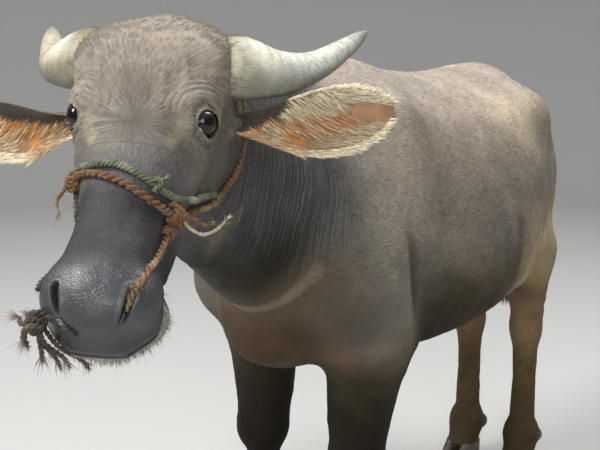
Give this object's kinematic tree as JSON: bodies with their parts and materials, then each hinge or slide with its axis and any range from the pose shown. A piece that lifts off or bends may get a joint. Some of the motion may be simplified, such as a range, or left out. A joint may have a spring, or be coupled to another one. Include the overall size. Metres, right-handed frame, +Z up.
{
  "type": "water buffalo",
  "caption": "Young water buffalo standing with its head low and turned to its left, with horns swept back and a rope halter.",
  "frame": {"origin": "middle of the bounding box's base, on the floor under the belly", "axes": "-Y is where the animal faces, +X its left side, +Z up"},
  "size_m": [0.792, 1.936, 1.259],
  "materials": {
    "hide": "dusty short-haired hide",
    "ear_hide": "hide with long straw-coloured hair",
    "horn": "dry ridged horn",
    "hoof": "dark horn",
    "eye": "wet and near black",
    "hair": "coarse dark hair",
    "rope_brown": "twisted fibre rope",
    "rope_green": "twisted fibre rope",
    "rope_dark": "frayed wet rope"
  },
  "bodies": {
    "root": {"torso": "hide", "neck": "hide", "foreleg_left": "hide", "hindleg_left": "hide", "foreleg_right": "hide", "hindleg_right": "hide", "forehoof_left_claw_left": "hoof", "foredewclaw_left_left": "hoof", "forehoof_left_claw_right": "hoof", "foredewclaw_left_right": "hoof", "forehoof_right_claw_left": "hoof", "foredewclaw_right_left": "hoof", "forehoof_right_claw_right": "hoof", "foredewclaw_right_right": "hoof", "hindhoof_left_claw_left": "hoof", "hinddewclaw_left_left": "hoof", "hindhoof_left_claw_right": "hoof", "hinddewclaw_left_right": "hoof", "hindhoof_right_claw_left": "hoof", "hinddewclaw_right_left": "hoof", "hindhoof_right_claw_right": "hoof", "hinddewclaw_right_right": "hoof", "head": "hide", "eye_left": "eye", "eye_right": "eye", "horn_left": "horn", "horn_right": "horn", "ear_left": "ear_hide", "ear_right": "ear_hide", "tail": "hide", "tail_switch": "hair", "halter_knot_left": "rope_brown", "halter_knot_right": "rope_brown", "halter_knot_nostril": "rope_dark", "halter_cheek_left": "rope_brown", "halter_crown": "rope_brown", "halter_cheek_right": "rope_brown", "halter_noseband": "rope_brown", "halter_band_green": "rope_green", "halter_nose_rope_left": "rope_brown", "halter_nose_rope_right": "rope_dark"}
  },
  "joints": []
}
